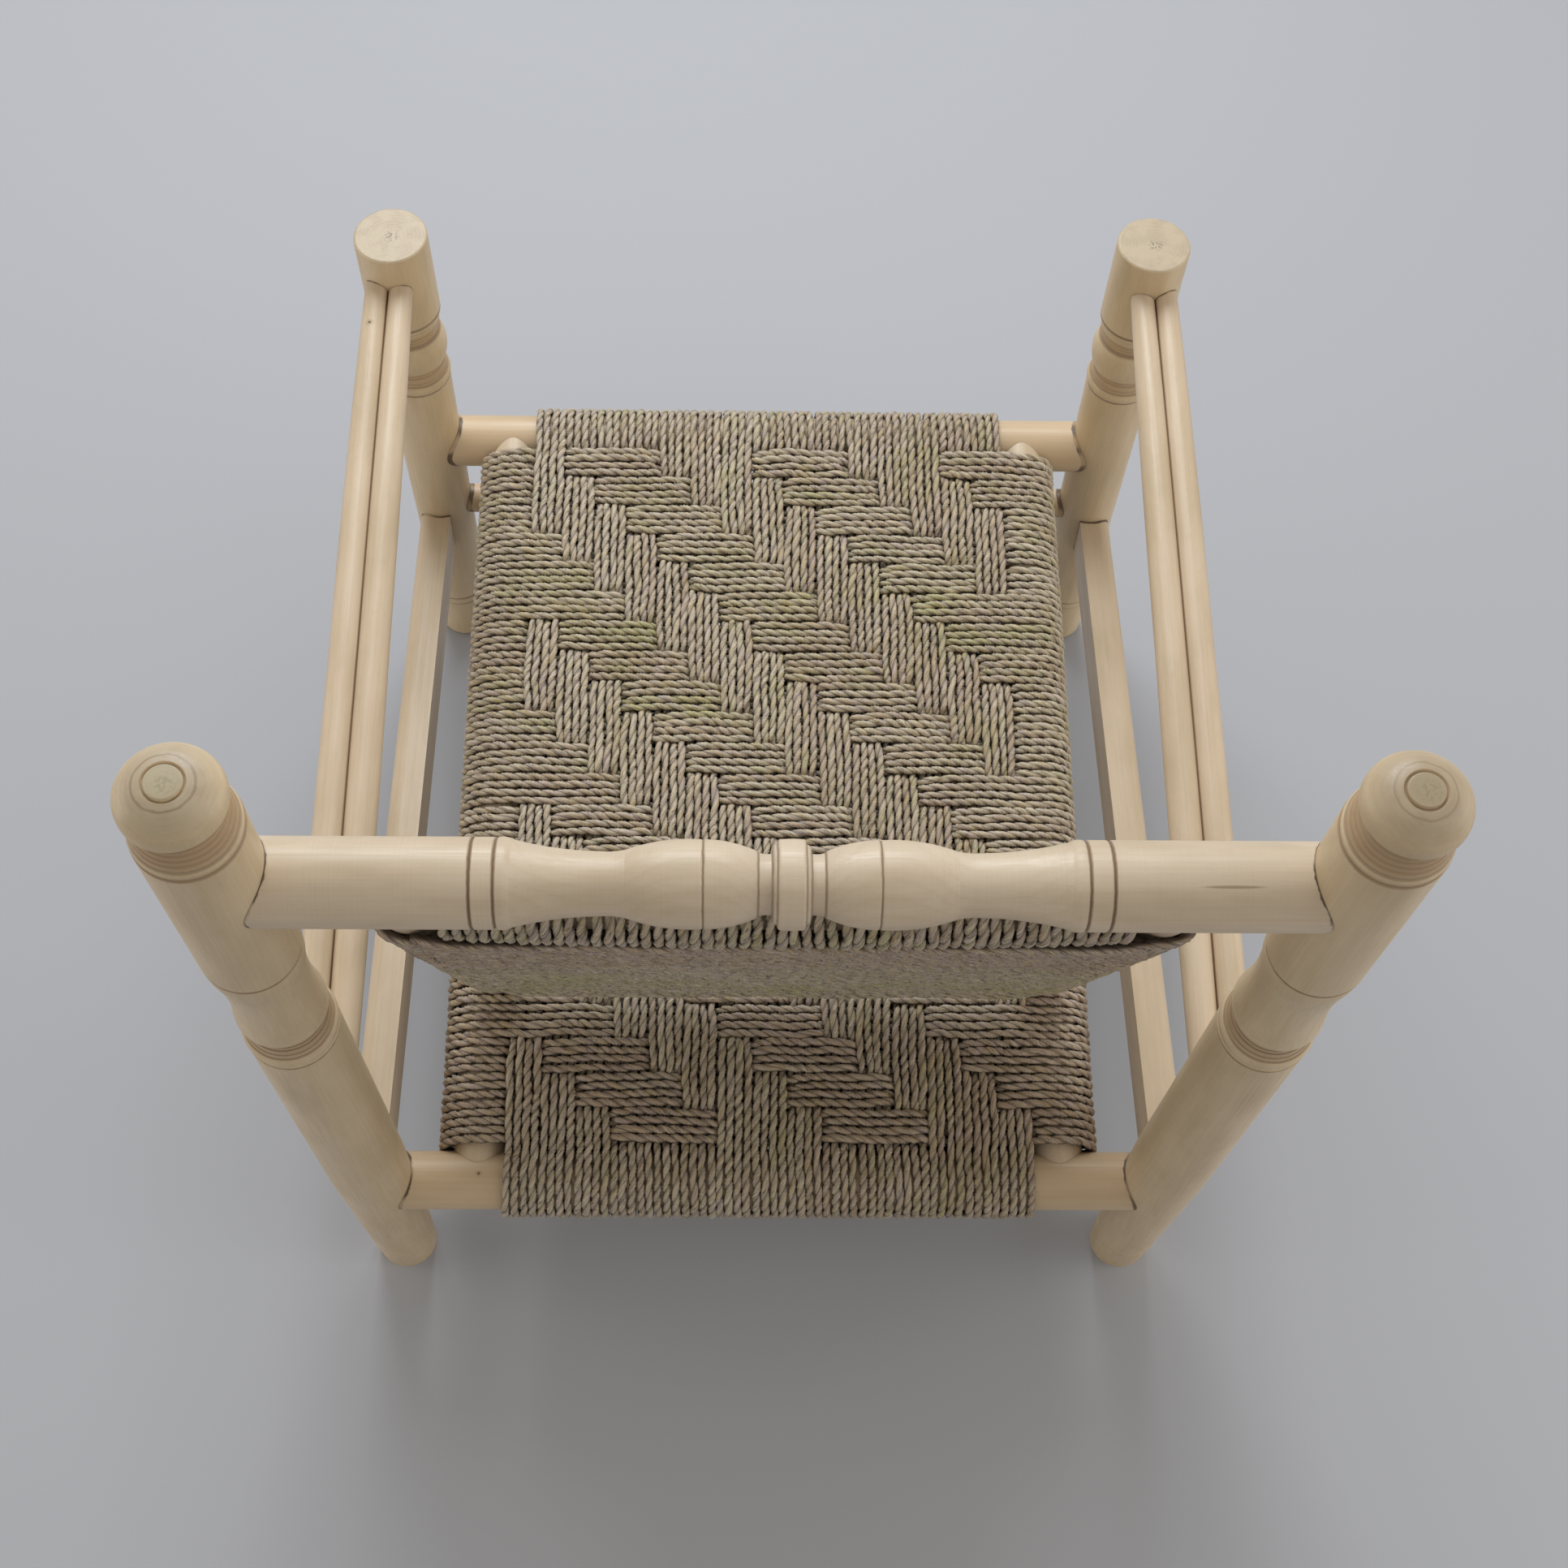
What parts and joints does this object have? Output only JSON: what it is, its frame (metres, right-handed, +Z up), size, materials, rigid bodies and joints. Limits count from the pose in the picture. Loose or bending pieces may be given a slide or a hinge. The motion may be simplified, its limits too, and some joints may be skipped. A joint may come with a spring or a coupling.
{
  "type": "low armchair",
  "caption": "Low wooden armchair with turned posts, a turned crest rail, paired dowel arms, and a woven cord seat and raked back.",
  "frame": {"origin": "on the floor, at the middle of the chair's outline seen from above", "axes": "+X to the sitter's left, -Y to the front of the chair, +Z up"},
  "size_m": [0.716, 0.843, 0.9976],
  "materials": {
    "turned_wood": "unfinished, sanded, satin",
    "frame_wood": "unfinished, sanded",
    "arm_wood": "unfinished, sanded, satin",
    "board_wood": "unfinished, sanded",
    "warp_cord": "twisted natural fibre cord",
    "weft_cord": "twisted natural fibre cord"
  },
  "bodies": {
    "root": {"front_post_left": "turned_wood", "front_post_right": "turned_wood", "rear_post_left": "turned_wood", "rear_post_right": "turned_wood", "crest_rail": "turned_wood", "seat_front_rail": "frame_wood", "seat_rear_rail": "frame_wood", "seat_side_rail_left": "frame_wood", "seat_side_rail_right": "frame_wood", "back_top_rail": "frame_wood", "back_bottom_rail": "frame_wood", "back_stile_left": "frame_wood", "back_stile_right": "frame_wood", "lower_front_stretcher": "frame_wood", "arm_dowel_outer_left": "arm_wood", "arm_dowel_inner_left": "arm_wood", "arm_dowel_outer_right": "arm_wood", "arm_dowel_inner_right": "arm_wood", "side_board_left": "board_wood", "side_board_right": "board_wood", "seat_warp": "warp_cord", "back_warp": "warp_cord", "seat_weft": "weft_cord", "back_weft": "weft_cord"}
  },
  "joints": []
}
